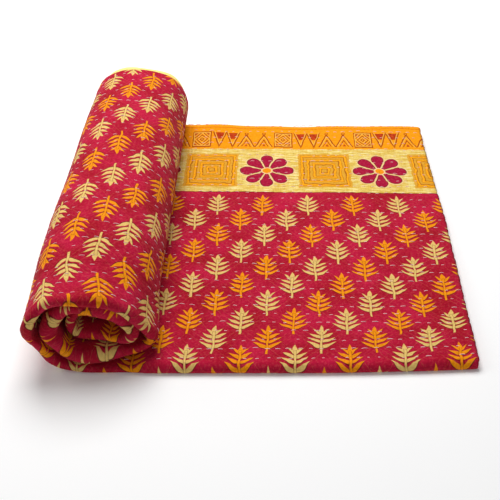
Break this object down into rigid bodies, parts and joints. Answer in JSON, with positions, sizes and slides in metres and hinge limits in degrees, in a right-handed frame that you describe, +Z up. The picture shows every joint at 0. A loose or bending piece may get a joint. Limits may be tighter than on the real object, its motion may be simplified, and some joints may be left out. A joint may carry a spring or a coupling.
{
  "type": "quilt folded in quarters and part rolled",
  "caption": "Hand-stitched printed cotton quilt, folded in quarters across its width and part rolled along its length, with the rest lying flat",
  "frame": {"origin": "under the middle of the box of the folded and rolled quilt, on the surface that it lies on", "axes": "+X along the quilt's length, away from the roll; +Y across it, from the front fold to the back edges; +Z up"},
  "size_m": [0.3982, 0.3886, 0.0899],
  "materials": {
    "printed_cotton": "crimson cotton printed with leaves and a flowered border, quilted with rows of white running stitch",
    "plain_cotton": "plain dyed marigold cotton, matt and lightly crinkled",
    "stitch_thread": "off-white cotton sewing thread"
  },
  "bodies": {
    "root": {"quilt": "printed_cotton"}
  },
  "joints": []
}
